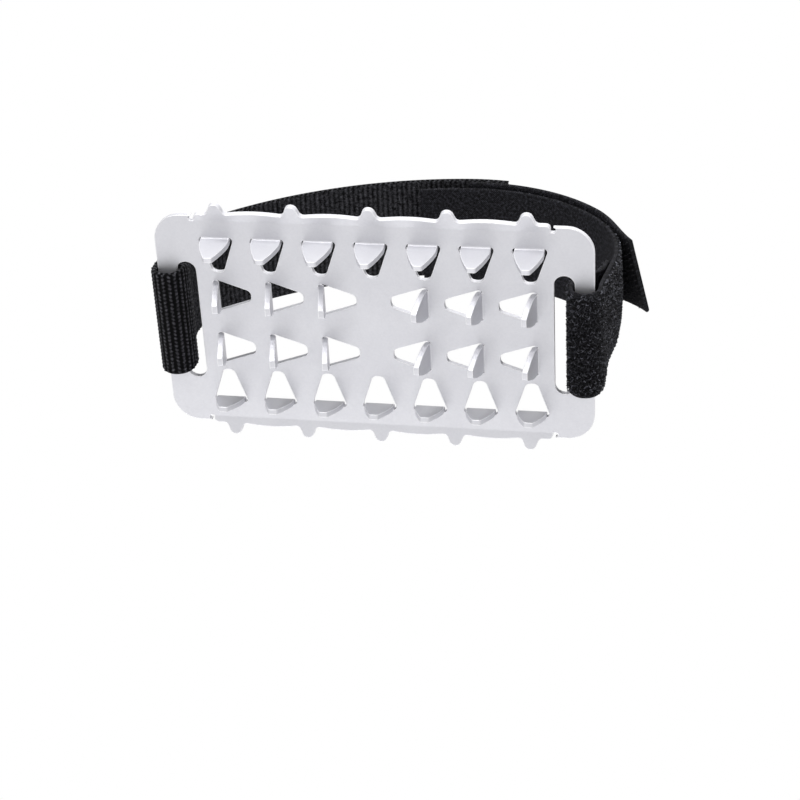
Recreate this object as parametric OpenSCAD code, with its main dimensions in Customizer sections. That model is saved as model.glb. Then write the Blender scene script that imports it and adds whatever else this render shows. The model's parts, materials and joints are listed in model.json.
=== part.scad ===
// Ice cleat: a pressed steel tread plate held under a shoe by two straps.
// X runs along the plate, Z points up into the shoe.
// The origin is the centre of the plate's upper face.

/* [Tread plate] */
// Length of the plate from end to end
plate_l = 96.6; // [94:0.2:110]
// Width of the plate across its corners
plate_w = 51.4; // [51:0.2:60]
// Thickness of the steel sheet
sheet_t = 1.2; // [1:0.1:1.6]
// Radius of the four corners
corner_r = 6; // [3:0.5:8]
// Width of the bar left outside each strap slot
bar_w = 4.2; // [3.6:0.1:5]
// Width of each strap slot
slot_w = 4.5; // [4:0.1:5.2]
// Length of each strap slot, round ends included
slot_l = 29; // [28:0.5:34]

/* [Ground teeth] */
// Teeth in each outer row
outer_row_teeth = 7; // [3:2:7]
// Distance of the last tooth in an outer row from the plate's end
outer_end_gap = 13.8; // [12:0.1:16]
// Distance of an outer row's bend line from the middle of the plate
outer_row_y = 20.8; // [20:0.1:22]
// Distance of an inner row from the middle of the plate
inner_row_y = 6.5; // [5:0.1:7]
// Distance of the last inner bend line from the strap slot
inner_slot_gap = 3.4; // [2.5:0.1:5]
// Distance of the first inner opening from the middle of the plate
inner_mid_gap = 3.8; // [2:0.1:5]
// Length of the opening that a tooth leaves
tooth_hole_l = 8.6; // [7:0.1:9]
// Width of that opening at the bend line
tooth_hole_w = 8.4; // [7:0.1:9]
// Width of that opening at its point
tooth_hole_tip_w = 2.4; // [1.8:0.1:3]
// Corner radius of that opening at the bend line
tooth_hole_r = 1; // [0.4:0.1:1.2]
// Corner radius of that opening at its point
tooth_hole_tip_r = 1.3; // [0.6:0.1:1.4]
// How much wider than the tooth its taper starts, on each side
tooth_ease = 0.2; // [0:0.1:0.4]
// How full the sides of a tooth are, 1 for straight sides
tooth_fullness = 1.6; // [1:0.1:2]
// Width of the tooth at its point
tooth_tip_w = 1.8; // [1.2:0.1:2.4]
// Angle that a tooth is bent down by
tooth_bend = 80; // [60:1:90]
// Inside radius of a tooth's bend
tooth_bend_r = 0.4; // [0.2:0.1:1]
// How far a bend is drawn back into the flat sheet
bend_root = 0.4; // [0.2:0.1:0.6]

/* [Long edges] */
// Teeth along each long edge
edge_teeth = 5; // [1:2:5]
// Distance of the last edge tooth from the end of the turned edge
edge_end_gap = 5; // [4:0.1:8]
// Height of an edge tooth
edge_tooth_h = 2.7; // [1.5:0.1:4]
// Width of an edge tooth at its root
edge_tooth_w = 4; // [3.2:0.1:6]
// Radius of an edge tooth's tip
edge_tooth_r = 1.4; // [0.4:0.1:1.5]
// Fillet radius at an edge tooth's root
edge_root_r = 1; // [0.6:0.1:2]
// Rounding of the ends of the turned edges
edge_end_r = 1; // [0.4:0.1:1.2]
// How far the edge swells out between its teeth
edge_swell = 0.5; // [0:0.1:0.8]
// Angle that the long edges are turned down by
edge_bend = 12; // [6:1:30]
// Inside radius of that turn
edge_bend_r = 1; // [0.5:0.1:2]
// Flat width of the turned edge
edge_flat = 1.4; // [0.8:0.1:2]
// Distance of the turn from the corners' edge
edge_inset = 1.2; // [0.8:0.1:2]
// Distance of the relief notches from the plate's end
notch_end_gap = 8.7; // [8:0.1:10]
// Radius of a relief notch
notch_r = 0.6; // [0.4:0.1:1]

/* [Straps] */
// Width of both straps
strap_w = 25.4; // [22:0.2:26]
// Width of the hook tape
tape_w = 20; // [18:0.2:25]
// Thickness of the ribbed elastic strap
elastic_t = 1.4; // [1:0.1:1.6]
// Thickness of the loop strap
loop_t = 1.2; // [0.9:0.1:1.5]
// Thickness of the hook tape
tape_t = 1.2; // [0.9:0.1:1.5]
// Room between a bar and the strap folded round it
fold_gap = 0.4; // [0.3:0.1:1.2]
// Room between layers that are sewn together
sewn_gap = 0.1; // [0.05:0.01:0.2]
// Room between the hook tape and the loop strap under it
lay_gap = 0.4; // [0.3:0.05:1]
// Room between one length of strap and the next at a bend line
bend_gap = 0.4; // [0.3:0.05:0.8]
// Height of the parallel part of a fold above the bar's middle
fold_side_h = 3; // [2.9:0.1:4]
// Height above the bar's middle where the fold's layers meet
fold_meet_h = 9.6; // [8:0.1:12]
// Length of the sewn part of a fold
fold_seam_l = 5; // [4:0.1:8]
// How much shorter the strap's cut end is than the sewn part
fold_end_back = 0.8; // [0.6:0.1:1.5]
// Sideways offset of the elastic strap's seam from the bar
elastic_lean = 0.9; // [0:0.1:2]

/* [Closed loop] */
// Lean of the elastic strap at its bar, over the upright
elastic_rise_lean = 6; // [0:1:10]
// Radius of the elastic strap's shoulder
shoulder_r = 16; // [12:0.5:20]
// Slope of the elastic strap above its shoulder
shoulder_slope = 45; // [35:1:55]
// Slope of the elastic strap at the hook tape
crown_slope = 3; // [0:1:8]
// Slope of the hook tape where its end lifts off
lift_slope = 48; // [40:1:55]
// Height over the plate where the hook tape's end lifts off
lift_h = 38.2; // [36:0.1:50]
// Lean of the loop strap at its bar, over the upright
loop_rise_lean = 8; // [0:1:10]
// Length of the loop strap past the end of the elastic strap
loop_tail = 12; // [6:1:20]
// Length of the elastic strap's end over the hook tape
tape_overlap = 9.4; // [7:0.1:11]
// Radius of the hook tape's lifted end
tip_r = 150; // [60:5:200]
// Turn of the hook tape's lifted end
tip_turn = 6.5; // [3:0.5:12]

/* [Stitching] */
// Radius of a stitch
stitch_r = 0.25; // [0.2:0.01:0.28]
// Length of a stitch
stitch_l = 2; // [1.5:0.1:2.2]
// Spacing of the stitches
stitch_pitch = 2.7; // [2.5:0.1:3]
// Stitches in a row
stitch_count = 9; // [5:2:9]
// Spacing of the two stitch rows
stitch_row_gap = 2.4; // [2:0.1:3]
// Room between a stitch and the webbing it lies on
stitch_gap = 0.05; // [0.02:0.01:0.1]

/* [Hidden] */
$fn = 48;
stitch_sides = 8;
bar_x = plate_l / 2 - bar_w / 2;
bar_z = -sheet_t / 2;
slot_x = plate_l / 2 - bar_w - slot_w / 2;
turn_y = plate_w / 2 - edge_inset;
outer_pitch = (plate_l - 2 * outer_end_gap) / (outer_row_teeth - 1);
inner_last_x = slot_x - slot_w / 2 - inner_slot_gap;
inner_pitch = (inner_last_x - tooth_hole_l - inner_mid_gap) / 2;
notch_x = plate_l / 2 - notch_end_gap;
turned_l = 2 * (notch_x - notch_r);
edge_pitch = (turned_l - 2 * edge_end_gap) / (edge_teeth - 1);
// Depth of an outline that only has to reach past the sheet on every side.
reach = 3 * (sheet_t + tooth_bend_r + edge_bend_r);
tooth_w = tooth_hole_w - 2 * tooth_hole_r;
blade_l = tooth_hole_l - (tooth_bend_r + sheet_t / 2) * tooth_bend * PI / 180;

// Fold round a bar: inside radius, then the middle of each strap's thickness.
fold_r = norm([bar_w, sheet_t]) / 2 + fold_gap;
elastic_fold_r = fold_r + elastic_t / 2;
loop_fold_r = fold_r + loop_t / 2;

// Headings are degrees from +X toward +Z. The elastic strap turns clockwise.
h0 = 90 + elastic_rise_lean;
h1 = shoulder_slope;
h3 = crown_slope;
h2 = (h1 + h3) / 2;
h5 = -lift_slope;
h4 = (h3 + h5) / 2;
h6 = h5 - tip_turn;

// Elastic strap: the seam's middle line, then the points between the lengths.
seam_a0 = [-bar_x - elastic_lean, bar_z + fold_meet_h];
seam_a1 = seam_a0 + fold_seam_l * dir(h0);
a0 = seam_a1 + (elastic_t + sewn_gap) / 2 * right(h0);
a1 = a0 + shoulder_r * cw(h0, h1);
a5 = [bar_x, lift_h];
span = solve(cw(h1, h3), cw(h3, h5), a5 - a1);
crown_r = span[0];
front_r = span[1];
crown_c = a1 + crown_r * right(h1);
front_c = a5 + front_r * right(h5);
overlap_turn = tape_overlap / front_r * 180 / PI;
tape_stitch_count = floor((tape_w - stitch_l) / stitch_pitch) + 1;

// Layers under the elastic strap, as steps in from its middle.
tape_in = elastic_t / 2 + sewn_gap + tape_t / 2;
loop_in = tape_in + tape_t / 2 + lay_gap + loop_t / 2;
tape_r = front_r - tape_in;
tip_c = front_c + (tape_r - tip_r) * left(h5);

// Loop strap: straight rise from its bar, then one arc to the hook tape.
b_lean = 90 - loop_rise_lean;
b_start = [bar_x + loop_fold_r, bar_z + fold_side_h];
b_meet = a5 + loop_in * right(h5);
rise = solve(dir(b_lean), ccw(b_lean, h5 + 180), b_meet - b_start);
rise_l = rise[0];
rise_r = rise[1];
rise_p = b_start + rise_l * dir(b_lean);
rise_c = rise_p + rise_r * left(b_lean);

function dir(h) = [cos(h), sin(h)];
function left(h) = [-sin(h), cos(h)];
function right(h) = [sin(h), -cos(h)];
// Step along an arc of radius 1 between two headings, clockwise or not.
function cw(f, g) = [sin(f) - sin(g), cos(g) - cos(f)];
function ccw(f, g) = [sin(g) - sin(f), cos(f) - cos(g)];
// The two factors that bring p and q together to d.
function solve(p, q, d) = [cross(d, q), cross(p, d)] / cross(p, q);
function unit(v) = v / norm(v);
function side(p, i) = let(d = unit(p[i + 1] - p[i])) [-d[1], d[0]];
function mitre(p, i) =
    i == 0 ? side(p, 0) :
    i == len(p) - 1 ? side(p, i - 1) :
    (side(p, i - 1) + side(p, i)) / (1 + side(p, i - 1) * side(p, i));
function spin(v, a) = [v[0] * cos(a) - v[1] * sin(a), v[0] * sin(a) + v[1] * cos(a)];
// Arc of radius r in the corner q between p and s, as n + 1 points.
function corner(p, q, s, r, n = 4) =
    let(a = unit(p - q), b = unit(s - q), half = acos(a * b) / 2)
    let(c = q + unit(a + b) * r / sin(half), v = q + a * r / tan(half) - c)
    let(turn = (180 - 2 * half) * sign(cross(q - p, s - q)))
    [for (i = [0:n]) c + spin(v, turn * i / n)];

// Opening that a tooth is cut from: bend line on y = 0, point toward +y.
module tooth_hole() {
    w = tooth_hole_w / 2;
    t = tooth_hole_tip_w / 2;
    p = [[-w, 0], [w, 0], [t, tooth_hole_l], [-t, tooth_hole_l]];
    r = [tooth_hole_r, tooth_hole_r, tooth_hole_tip_r, tooth_hole_tip_r];
    polygon([for (i = [0:3]) each corner(p[(i + 3) % 4], p[i], p[(i + 1) % 4], r[i])]);
}

// Middle line of the sheet, bent down about y = 0 and then straight for l.
function bent_line(r, angle, l, n) =
    let(m = r + sheet_t / 2)
    let(arc = [for (i = [0:n]) m * [sin(angle * i / n), cos(angle * i / n)] - [0, sheet_t + r]])
    concat([[-bend_root, -sheet_t / 2]], arc, [arc[n] + l * dir(-angle)]);

// Strip of that bent sheet, w wide along X.
module bent_sheet(w, r, angle, l, n) {
    translate([-w / 2, 0, 0])
        rotate([90, 0, 90])
            linear_extrude(w)
                band(bent_line(r, angle, l, n), sheet_t);
}

// Outlines on the sheet past such a bend, drawn with the bend's end on y = 0.
module past_bend(r, angle, t) {
    translate([0, 0, -sheet_t - r])
        rotate([-angle, 0, 0])
            translate([0, 0, r + (sheet_t - t) / 2])
                linear_extrude(t)
                    union() {
                        children();
                    }
}

// Outline that narrows a tooth to its round point, with full sides.
module tooth_taper(n = 5) {
    w = tooth_w / 2 + tooth_ease;
    t = tooth_tip_w / 2;
    side = [for (k = [0:n]) [t + (w - t) * (1 - pow(k / n, tooth_fullness)), blade_l * k / n]];
    half = concat(
        [[w, -reach]],
        [for (k = [0:n - 1]) side[k]],
        corner(side[n - 1], side[n], [-t, blade_l], 0.7 * t)
    );
    m = len(half);
    polygon(concat(half, [for (k = [m - 1:-1:0]) [-half[k][0], half[k][1]]]));
}

module ground_tooth() {
    intersection() {
        bent_sheet(tooth_w, tooth_bend_r, tooth_bend, blade_l + reach, 8);
        past_bend(tooth_bend_r, tooth_bend, reach)
            tooth_taper();
    }
}

module outer_rows() {
    first = -outer_pitch * (outer_row_teeth - 1) / 2;
    for (s = [-1, 1], i = [0:outer_row_teeth - 1])
        translate([first + i * outer_pitch, s * outer_row_y, 0])
            rotate([0, 0, s > 0 ? 180 : 0])
                children();
}

module inner_rows() {
    for (s = [-1, 1], e = [-1, 1], i = [0:2])
        translate([e * (inner_last_x - i * inner_pitch), s * inner_row_y, 0])
            rotate([0, 0, 90 * e])
                children();
}

module strap_slot() {
    gap = slot_l - slot_w;
    square([slot_w, gap], center = true);
    for (s = [-1, 1])
        translate([0, s * gap / 2])
            circle(d = slot_w);
}

module blank() {
    square([plate_l - 2 * corner_r, plate_w], center = true);
    square([plate_l, plate_w - 2 * corner_r], center = true);
    for (s = [-1, 1], e = [-1, 1])
        translate([e * (plate_l / 2 - corner_r), s * (plate_w / 2 - corner_r)])
            circle(corner_r);
}

module flat_sheet() {
    difference() {
        blank();
        for (e = [-1, 1]) {
            translate([e * slot_x, 0])
                strap_slot();
            for (s = [-1, 1])
                translate([e * notch_x, s * (turn_y + notch_r)])
                    circle(notch_r);
        }
        for (s = [-1, 1])
            translate([0, s * (turn_y + reach / 2)])
                square([2 * notch_x, reach], center = true);
        outer_rows()
            tooth_hole();
        inner_rows()
            tooth_hole();
    }
}

// Outline of one edge tooth at x, between the edge points p and q: root fillets and a round tip.
function edge_tooth(x, p, q) =
    let(b = edge_tooth_w / 2, c = edge_tooth_h - edge_tooth_r)
    let(a = atan2(-c, b) + acos(edge_tooth_r / norm([b, c])))
    let(l = [x - b, edge_flat], r = [x + b, edge_flat])
    let(tip = [x, edge_flat + c + edge_tooth_r / sin(a)])
    concat(
        corner(p, l, tip, edge_root_r),
        corner(l, tip, r, edge_tooth_r, 8),
        corner(tip, r, q, edge_root_r)
    );

// Edge points between two teeth, from the one at x.
function edge_swelling(x, n = 8) =
    let(w = edge_pitch - edge_tooth_w)
    [for (k = [1:n - 1]) [x + edge_tooth_w / 2 + w * k / n, edge_flat + edge_swell * sin(180 * k / n)]];

module edge_outline() {
    first = -edge_pitch * (edge_teeth - 1) / 2;
    last = edge_teeth - 1;
    end = [turned_l / 2, edge_flat];
    start = [-end[0], edge_flat];
    polygon(concat(
        [[start[0], -reach]],
        corner([start[0], -reach], start, [first, edge_flat], edge_end_r),
        [for (i = [0:last])
            let(x = first + i * edge_pitch)
            let(before = edge_swelling(x - edge_pitch), after = edge_swelling(x))
            each concat(
                edge_tooth(x, i == 0 ? start : before[len(before) - 1], i == last ? end : after[0]),
                i == last ? [] : after
            )
        ],
        corner([-first, edge_flat], end, [end[0], -reach], edge_end_r),
        [[end[0], -reach]]
    ));
}

module turned_edge() {
    intersection() {
        bent_sheet(turned_l, edge_bend_r, edge_bend, edge_flat + edge_tooth_h + reach, 3);
        past_bend(edge_bend_r, edge_bend, reach)
            edge_outline();
    }
}

module tread_plate() {
    color("#c9cbcc")
    union() {
        translate([0, 0, -sheet_t])
            linear_extrude(sheet_t)
                flat_sheet();
        outer_rows()
            ground_tooth();
        inner_rows()
            ground_tooth();
        for (s = [0, 180])
            rotate([0, 0, s])
                translate([0, turn_y, 0])
                    turned_edge();
    }
}

// Outline drawn in X and Z, given the width of the strap along Y.
module webbing() {
    translate([0, strap_w / 2, 0])
        rotate([90, 0, 0])
            linear_extrude(strap_w)
                union() {
                    children();
                }
}

// Band of one thickness along straight pieces.
module band(p, t) {
    n = len(p) - 1;
    polygon(concat(
        [for (i = [0:n]) p[i] + t / 2 * mitre(p, i)],
        [for (i = [n:-1:0]) p[i] - t / 2 * mitre(p, i)]
    ));
}

// Points of the half turn under a bar, from its +X side to its -X side.
function bar_turn(x, r, n = 18) = [for (i = [0:n]) [x, bar_z] + r * dir(-180 * i / n)];

// One length of strap on an arc, between two angles about its centre.
module strap_arc(c, r, t, f, g, w = strap_w) {
    cut = bend_gap / 2 / r * 180 / PI;
    translate([c[0], 0, c[1]])
        rotate([90, 0, 0])
            rotate([0, 0, f + cut])
                rotate_extrude(angle = g - f - 2 * cut)
                    translate([r - t / 2, -w / 2])
                        square([t, w]);
}

// Row of stitches across the strap, flat side on the webbing.
module stitch_row(n = stitch_count) {
    first = -stitch_pitch * (n - 1) / 2;
    for (i = [0:n - 1])
        translate([0, first + i * stitch_pitch + stitch_l / 2, 0])
            rotate([90, 0, 0])
                linear_extrude(stitch_l)
                    intersection() {
                        circle(stitch_r, $fn = stitch_sides);
                        translate([-1, 0])
                            square([2, 1]);
                    }
}

// Two stitch rows on a flat seam: middle point p, heading h, side +1 or -1.
module seam_face(p, h, s, off) {
    for (k = [-1, 1]) {
        q = p + k * stitch_row_gap / 2 * dir(h) + s * (off + stitch_gap) * left(h);
        translate([q[0], 0, q[1]])
            rotate([0, -h + (s > 0 ? 0 : 180), 0])
                stitch_row();
    }
}

module elastic_strap_fold() {
    side_z = bar_z + fold_side_h;
    off = (elastic_t + sewn_gap) / 2;
    end = seam_a1 - fold_end_back * dir(h0);
    color("#1a1a1c")
        webbing()
            band(concat(
                [
                    a0 - bend_gap / 2 * dir(h0),
                    seam_a0 + off * right(h0),
                    [-bar_x + elastic_fold_r, side_z]
                ],
                bar_turn(-bar_x, elastic_fold_r),
                [
                    [-bar_x - elastic_fold_r, side_z],
                    seam_a0 + off * left(h0),
                    end + off * left(h0)
                ]
            ), elastic_t);
}

module elastic_fold_stitching() {
    mid = (seam_a0 + seam_a1) / 2;
    off = elastic_t + sewn_gap / 2;
    color("#2b2b2e")
        for (s = [-1, 1])
            seam_face(mid - bend_gap / 2 * dir(h0), h0, s, off);
}

module elastic_strap_shoulder() {
    color("#1a1a1c")
        strap_arc(a0 + shoulder_r * right(h0), shoulder_r, elastic_t, h1 + 90, h0 + 90);
}

module elastic_strap_left() {
    color("#1a1a1c")
        strap_arc(crown_c, crown_r, elastic_t, h2 + 90, h1 + 90);
}

module elastic_strap_crown() {
    color("#1a1a1c")
        strap_arc(crown_c, crown_r, elastic_t, h3 + 90, h2 + 90);
}

module elastic_strap_end() {
    color("#1a1a1c")
        strap_arc(front_c, front_r, elastic_t, h3 - overlap_turn + 90, h3 + 90);
}

module hook_tape_sewn_end() {
    color("#232325")
        strap_arc(front_c, tape_r, tape_t, h4 + 90, h3 + 90, tape_w);
}

module hook_tape_stitching() {
    color("#2b2b2e")
        for (k = [-1, 1]) {
            h = h3 - overlap_turn / 2 + k * stitch_row_gap / front_r * 180 / PI;
            p = front_c + (front_r + elastic_t / 2 + stitch_gap) * left(h);
            translate([p[0], 0, p[1]])
                rotate([0, -h, 0])
                    stitch_row(tape_stitch_count);
        }
}

module hook_tape_middle() {
    color("#232325")
        strap_arc(front_c, tape_r, tape_t, h5 + 90, h4 + 90, tape_w);
}

module hook_tape_tip() {
    color("#232325")
        strap_arc(tip_c, tip_r, tape_t, h6 + 90, h5 + 90, tape_w);
}

module loop_strap_fold() {
    off = loop_t + sewn_gap;
    meet = b_start + (fold_meet_h - fold_side_h) * dir(b_lean);
    color("#1d1d1f")
        webbing()
            band(concat(
                [rise_p - bend_gap / 2 * dir(b_lean), b_start],
                bar_turn(bar_x, loop_fold_r),
                [
                    [bar_x - loop_fold_r, bar_z + fold_side_h],
                    meet + off * left(b_lean),
                    meet + (fold_seam_l - fold_end_back) * dir(b_lean) + off * left(b_lean)
                ]
            ), loop_t);
}

module loop_fold_stitching() {
    seam = fold_meet_h - fold_side_h + fold_seam_l / 2 - bend_gap / 2;
    mid = b_start + seam * dir(b_lean) + (loop_t + sewn_gap) / 2 * left(b_lean);
    color("#2b2b2e")
        for (s = [-1, 1])
            seam_face(mid, b_lean, s, loop_t + sewn_gap / 2);
}

module loop_strap_rise() {
    color("#1d1d1f")
        strap_arc(rise_c, rise_r, loop_t, b_lean - 90, h5 + 90);
}

module loop_strap_shoulder() {
    color("#1d1d1f")
        strap_arc(front_c, front_r - loop_in, loop_t, h5 + 90, h4 + 90);
}

module loop_strap_span() {
    color("#1d1d1f")
        strap_arc(front_c, front_r - loop_in, loop_t, h4 + 90, h3 + 90);
}

module loop_strap_end() {
    turn = loop_tail / crown_r * 180 / PI;
    color("#1d1d1f")
        strap_arc(crown_c, crown_r - loop_in, loop_t, h3 + 90, h3 + turn + 90);
}

tread_plate();
elastic_strap_fold();
elastic_fold_stitching();
elastic_strap_shoulder();
elastic_strap_left();
elastic_strap_crown();
elastic_strap_end();
hook_tape_sewn_end();
hook_tape_stitching();
hook_tape_middle();
hook_tape_tip();
loop_strap_fold();
loop_fold_stitching();
loop_strap_rise();
loop_strap_shoulder();
loop_strap_span();
loop_strap_end();
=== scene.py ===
import json
import math

import bpy
import numpy as np
from bpy.props import FloatProperty, FloatVectorProperty, IntProperty, PointerProperty
from mathutils import Matrix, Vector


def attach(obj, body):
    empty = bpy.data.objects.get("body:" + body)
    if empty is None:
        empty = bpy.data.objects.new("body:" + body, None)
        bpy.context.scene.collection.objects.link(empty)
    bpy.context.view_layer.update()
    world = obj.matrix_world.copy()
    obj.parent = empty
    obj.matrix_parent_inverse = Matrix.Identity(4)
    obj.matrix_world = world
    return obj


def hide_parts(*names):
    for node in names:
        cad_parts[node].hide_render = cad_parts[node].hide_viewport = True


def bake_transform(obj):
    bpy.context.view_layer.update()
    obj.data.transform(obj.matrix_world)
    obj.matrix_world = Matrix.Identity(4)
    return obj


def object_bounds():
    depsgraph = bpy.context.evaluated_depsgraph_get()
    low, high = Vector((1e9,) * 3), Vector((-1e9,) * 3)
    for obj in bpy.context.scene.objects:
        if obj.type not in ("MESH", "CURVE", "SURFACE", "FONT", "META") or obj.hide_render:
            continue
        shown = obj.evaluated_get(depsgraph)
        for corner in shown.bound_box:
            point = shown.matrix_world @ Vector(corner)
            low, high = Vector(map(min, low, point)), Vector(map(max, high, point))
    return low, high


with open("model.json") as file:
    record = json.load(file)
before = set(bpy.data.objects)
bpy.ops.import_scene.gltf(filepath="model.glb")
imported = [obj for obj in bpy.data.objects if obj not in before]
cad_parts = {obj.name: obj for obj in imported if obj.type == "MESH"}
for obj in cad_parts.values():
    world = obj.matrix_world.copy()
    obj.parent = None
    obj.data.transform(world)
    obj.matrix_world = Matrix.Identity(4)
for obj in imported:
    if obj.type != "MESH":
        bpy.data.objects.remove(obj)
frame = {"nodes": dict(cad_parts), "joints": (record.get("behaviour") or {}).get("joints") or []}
CAD_BOX = [list(corner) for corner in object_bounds()]

bl_info = {
    "name": "Ice Cleat",
    "version": (1, 0, 0),
    "blender": (4, 5, 0),
    "location": "View3D > Sidebar > Ice Cleat",
    "description": "Dresses the solids of a strap-on ice cleat: steel plate, elastic, hook and loop",
    "category": "Object",
}

MM = 0.001

# Sizes of the solids, in millimetres and degrees, as the part's source has them.
SHEET_T = 1.2
BAR_W = 4.2
STRAP_W = 25.4
TAPE_W = 20.0
ELASTIC_T = 1.4
LOOP_T = 1.2
TAPE_T = 1.2
FOLD_GAP = 0.4
SEWN_GAP = 0.1
LAY_GAP = 0.4
BEND_GAP = 0.4
FOLD_SIDE_H = 3.0
FOLD_MEET_H = 9.6
FOLD_SEAM_L = 5.0
FOLD_END_BACK = 0.8
ELASTIC_LEAN = 0.9
ELASTIC_RISE_LEAN = 6
SHOULDER_R = 16.0
SHOULDER_SLOPE = 45
CROWN_SLOPE = 3
LIFT_SLOPE = 48
LIFT_H = 38.2
LOOP_RISE_LEAN = 8
LOOP_TAIL = 12.0
TAPE_OVERLAP = 9.4
TIP_R = 150.0
TIP_TURN = 6.5
STITCH_L = 2.0
STITCH_PITCH = 2.7
STITCH_COUNT = 9
TAPE_STITCH_COUNT = 7
STITCH_ROW_GAP = 2.4

# How the cloth lies on the solids, in millimetres and degrees.
# Bell widths that round the corners of the straps' and the tape's middle lines.
STRAP_SOFTEN = 0.9
TAPE_SOFTEN = 0.6
# The lifted end of the tape twists by this angle. A peeling length is handed on with the last piece, but
# nothing bends over it.
TIP_TWIST = 14
PEEL_L = 7.0
# The cloth of the tape is sewn on nearer to one edge of the elastic than the solid is.
TAPE_SHIFT = -2.5
# The seam presses the elastic's end flat by so much, over this length.
END_PRESS = 0.7
END_PRESS_L = 7.0
# Lengths between which the elastic passes from its fold to its inner face, where the painted light and shade
# of its ribs grows lighter, weaker and more even.
INNER_FACE = (24.0, 40.0)
# The cloth of the loop strap falls toward the plate along one edge, and its middle bulges outward by a
# share of that. For both: the heights over the plate where it begins, is greatest and ends.
LOOP_SAG = 3.0
SAG_HEIGHTS = (1.0, 17.0, 34.0)
BULGE_SHARE = 0.55
BULGE_HEIGHTS = (6.0, 21.0, 31.0)
# It lies nearer to one end of its slot than the solid does.
LOOP_SHIFT = 1.1
# A place on the free part of a folded strap is looked for past this length.
PAST_FOLD = 25.0
# The piece of the elastic's fold ends this far before the first bend.
FOLD_CUT_BACK = 0.6
# How far inside the solids' faces the woven faces, the feet of the pile and the thread lie.
FACE_BACK = 0.1
PILE_BACK = 0.08
THREAD_BACK = 0.1

# Hooks: spacing across the tape, distance from its edges and from a piece's end, shift from row to row,
# scatter, spread of heights, and height where they are pressed into the pile. Past the lift they stand up
# over a range of lengths, and across the tape over a range of y, because one edge twists toward the pile.
HOOK_COLUMN = 1.45
HOOK_EDGE = 1.0
HOOK_END = 0.2
HOOK_STAGGER = 0.36
HOOK_SCATTER = 0.06
HOOK_SPREAD = (0.85, 1.1)
HOOK_PRESSED = 0.32
HOOK_STAND_S = (3.0, 9.0)
HOOK_STAND_Y = (-7.0, -4.0)
# A hook's side view, as shares of its height: up from the face, and over to the side it curls to.
HOOK_UP = (-0.1, 0.45, 0.85, 1.0, 0.72)
HOOK_OVER = (0.0, 0.014, 0.084, 0.294, 0.462)

# Pile: how far its rows reach across the strap, the limits in y that its scatter keeps to, its distance
# from a piece's ends, the spread of heights, half widths, leans and shades, and the height under the tape.
# The tape's cover begins so far before the middle of the strap's shoulder, and the pile goes down over a
# range of lengths about that. A loop of it has so many points.
PILE_REACH = 12.2
PILE_LIMITS = (-12.3, 11.9)
PILE_END = 0.05
PILE_SPREAD = (0.55, 1.1)
PILE_HALF = (0.18, 0.38)
PILE_LEAN = 0.3
PILE_SHADES = (0.3, 1.0)
PILE_PRESSED = 0.22
PILE_COVER = 12.0
PILE_DOWN = (-8.0, 2.0)
PILE_POINTS = 5

# A stitch's points, and how much longer it is than its solid so that its ends dive into the cloth.
STITCH_POINTS = 9
STITCH_DIVE = 1.12

# How finely outlines, tracks and woven cloth are sampled, in millimetres.
POINT_STEP = 0.1
TRACK_STEP = 0.05
WEAVE_STEP = 0.4
# Rows to a rib of the elastic, columns across each face, and points round each half-round edge.
RIB_ROWS = 6
ELASTIC_COLUMNS = 120
LOOP_COLUMNS = 52
TAPE_COLUMNS = 42
EDGE_POINTS = 5
# Sides of the tubes that draw hooks, fibres and thread.
HOOK_SIDES, FIBRE_SIDES, THREAD_SIDES = 4, 3, 8
# Material slots of a piece: its cloth or thread, and the hooks or pile that stand on it.
CLOTH_SLOT, TUFT_SLOT = 0, 1
# Millimetres to one unit of the cloth's UV map.
CLOTH_UNIT = 10.0
# Creases over this angle stay sharp.
SHARP_ANGLE = 75
# Blender's wave texture repeats every 0.314 of a unit at scale 1.
WAVE_PERIOD = 0.314

# The photograph's camera: its place in millimetres and the directions it sees as right, down and ahead.
CAMERA_AT = (86.08, -205.70, -380.94)
CAMERA_RIGHT = (0.982, 0.0487, 0.1818)
CAMERA_DOWN = (0.0495, 0.8651, -0.4992)
CAMERA_AHEAD = (-0.1816, 0.4992, 0.8472)
CAMERA_LENS = 90.0
CAMERA_SENSOR = 36.0
CAMERA_CLIP = (0.01, 10.0)

# Studio, in metres and watts. Each lamp: name, place, target, size and power.
FLOOR_HALF = 0.6
LAMPS = (
    ("key", (-0.2, -0.8, -0.04), (0.0, 0.0, 0.0), 0.3, 4.0),
    ("sheet", (-0.06, 0.22, -0.14), (0.0, 0.02, 0.0), 0.2, 0.13),
    ("top", (0.2, -0.4, 0.8), (0.0, 0.0, 0.02), 0.9, 2.5),
)
# Strength of the surround as light on the object, and of the floor's own white to the camera.
SKY_LIGHT = 0.76
FLOOR_GLOW = 0.26
WHITE = (1.0, 1.0, 1.0, 1.0)


def linear(hex_colour):
    """Linear RGBA of an sRGB hex colour: the usual two-part sRGB curve, channel by channel."""
    c = np.array([int(hex_colour[i:i + 2], 16) for i in (1, 3, 5)]) / 255
    c = np.where(c <= 0.04045, c / 12.92, ((c + 0.055) / 1.055) ** 2.4)
    return (*(float(v) for v in c), 1.0)


def length_property(name, description, default):
    """A size in millimetres, kept in metres with Blender's length unit."""
    return FloatProperty(
        name=name, description=description, default=default * MM, min=0.0, unit="LENGTH", precision=5
    )


def colour_property(name, description, default):
    """A colour given as sRGB hex, kept as linear RGBA."""
    return FloatVectorProperty(
        name=name, description=description, default=linear(default), size=4, min=0.0, max=1.0,
        subtype="COLOR"
    )


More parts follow.
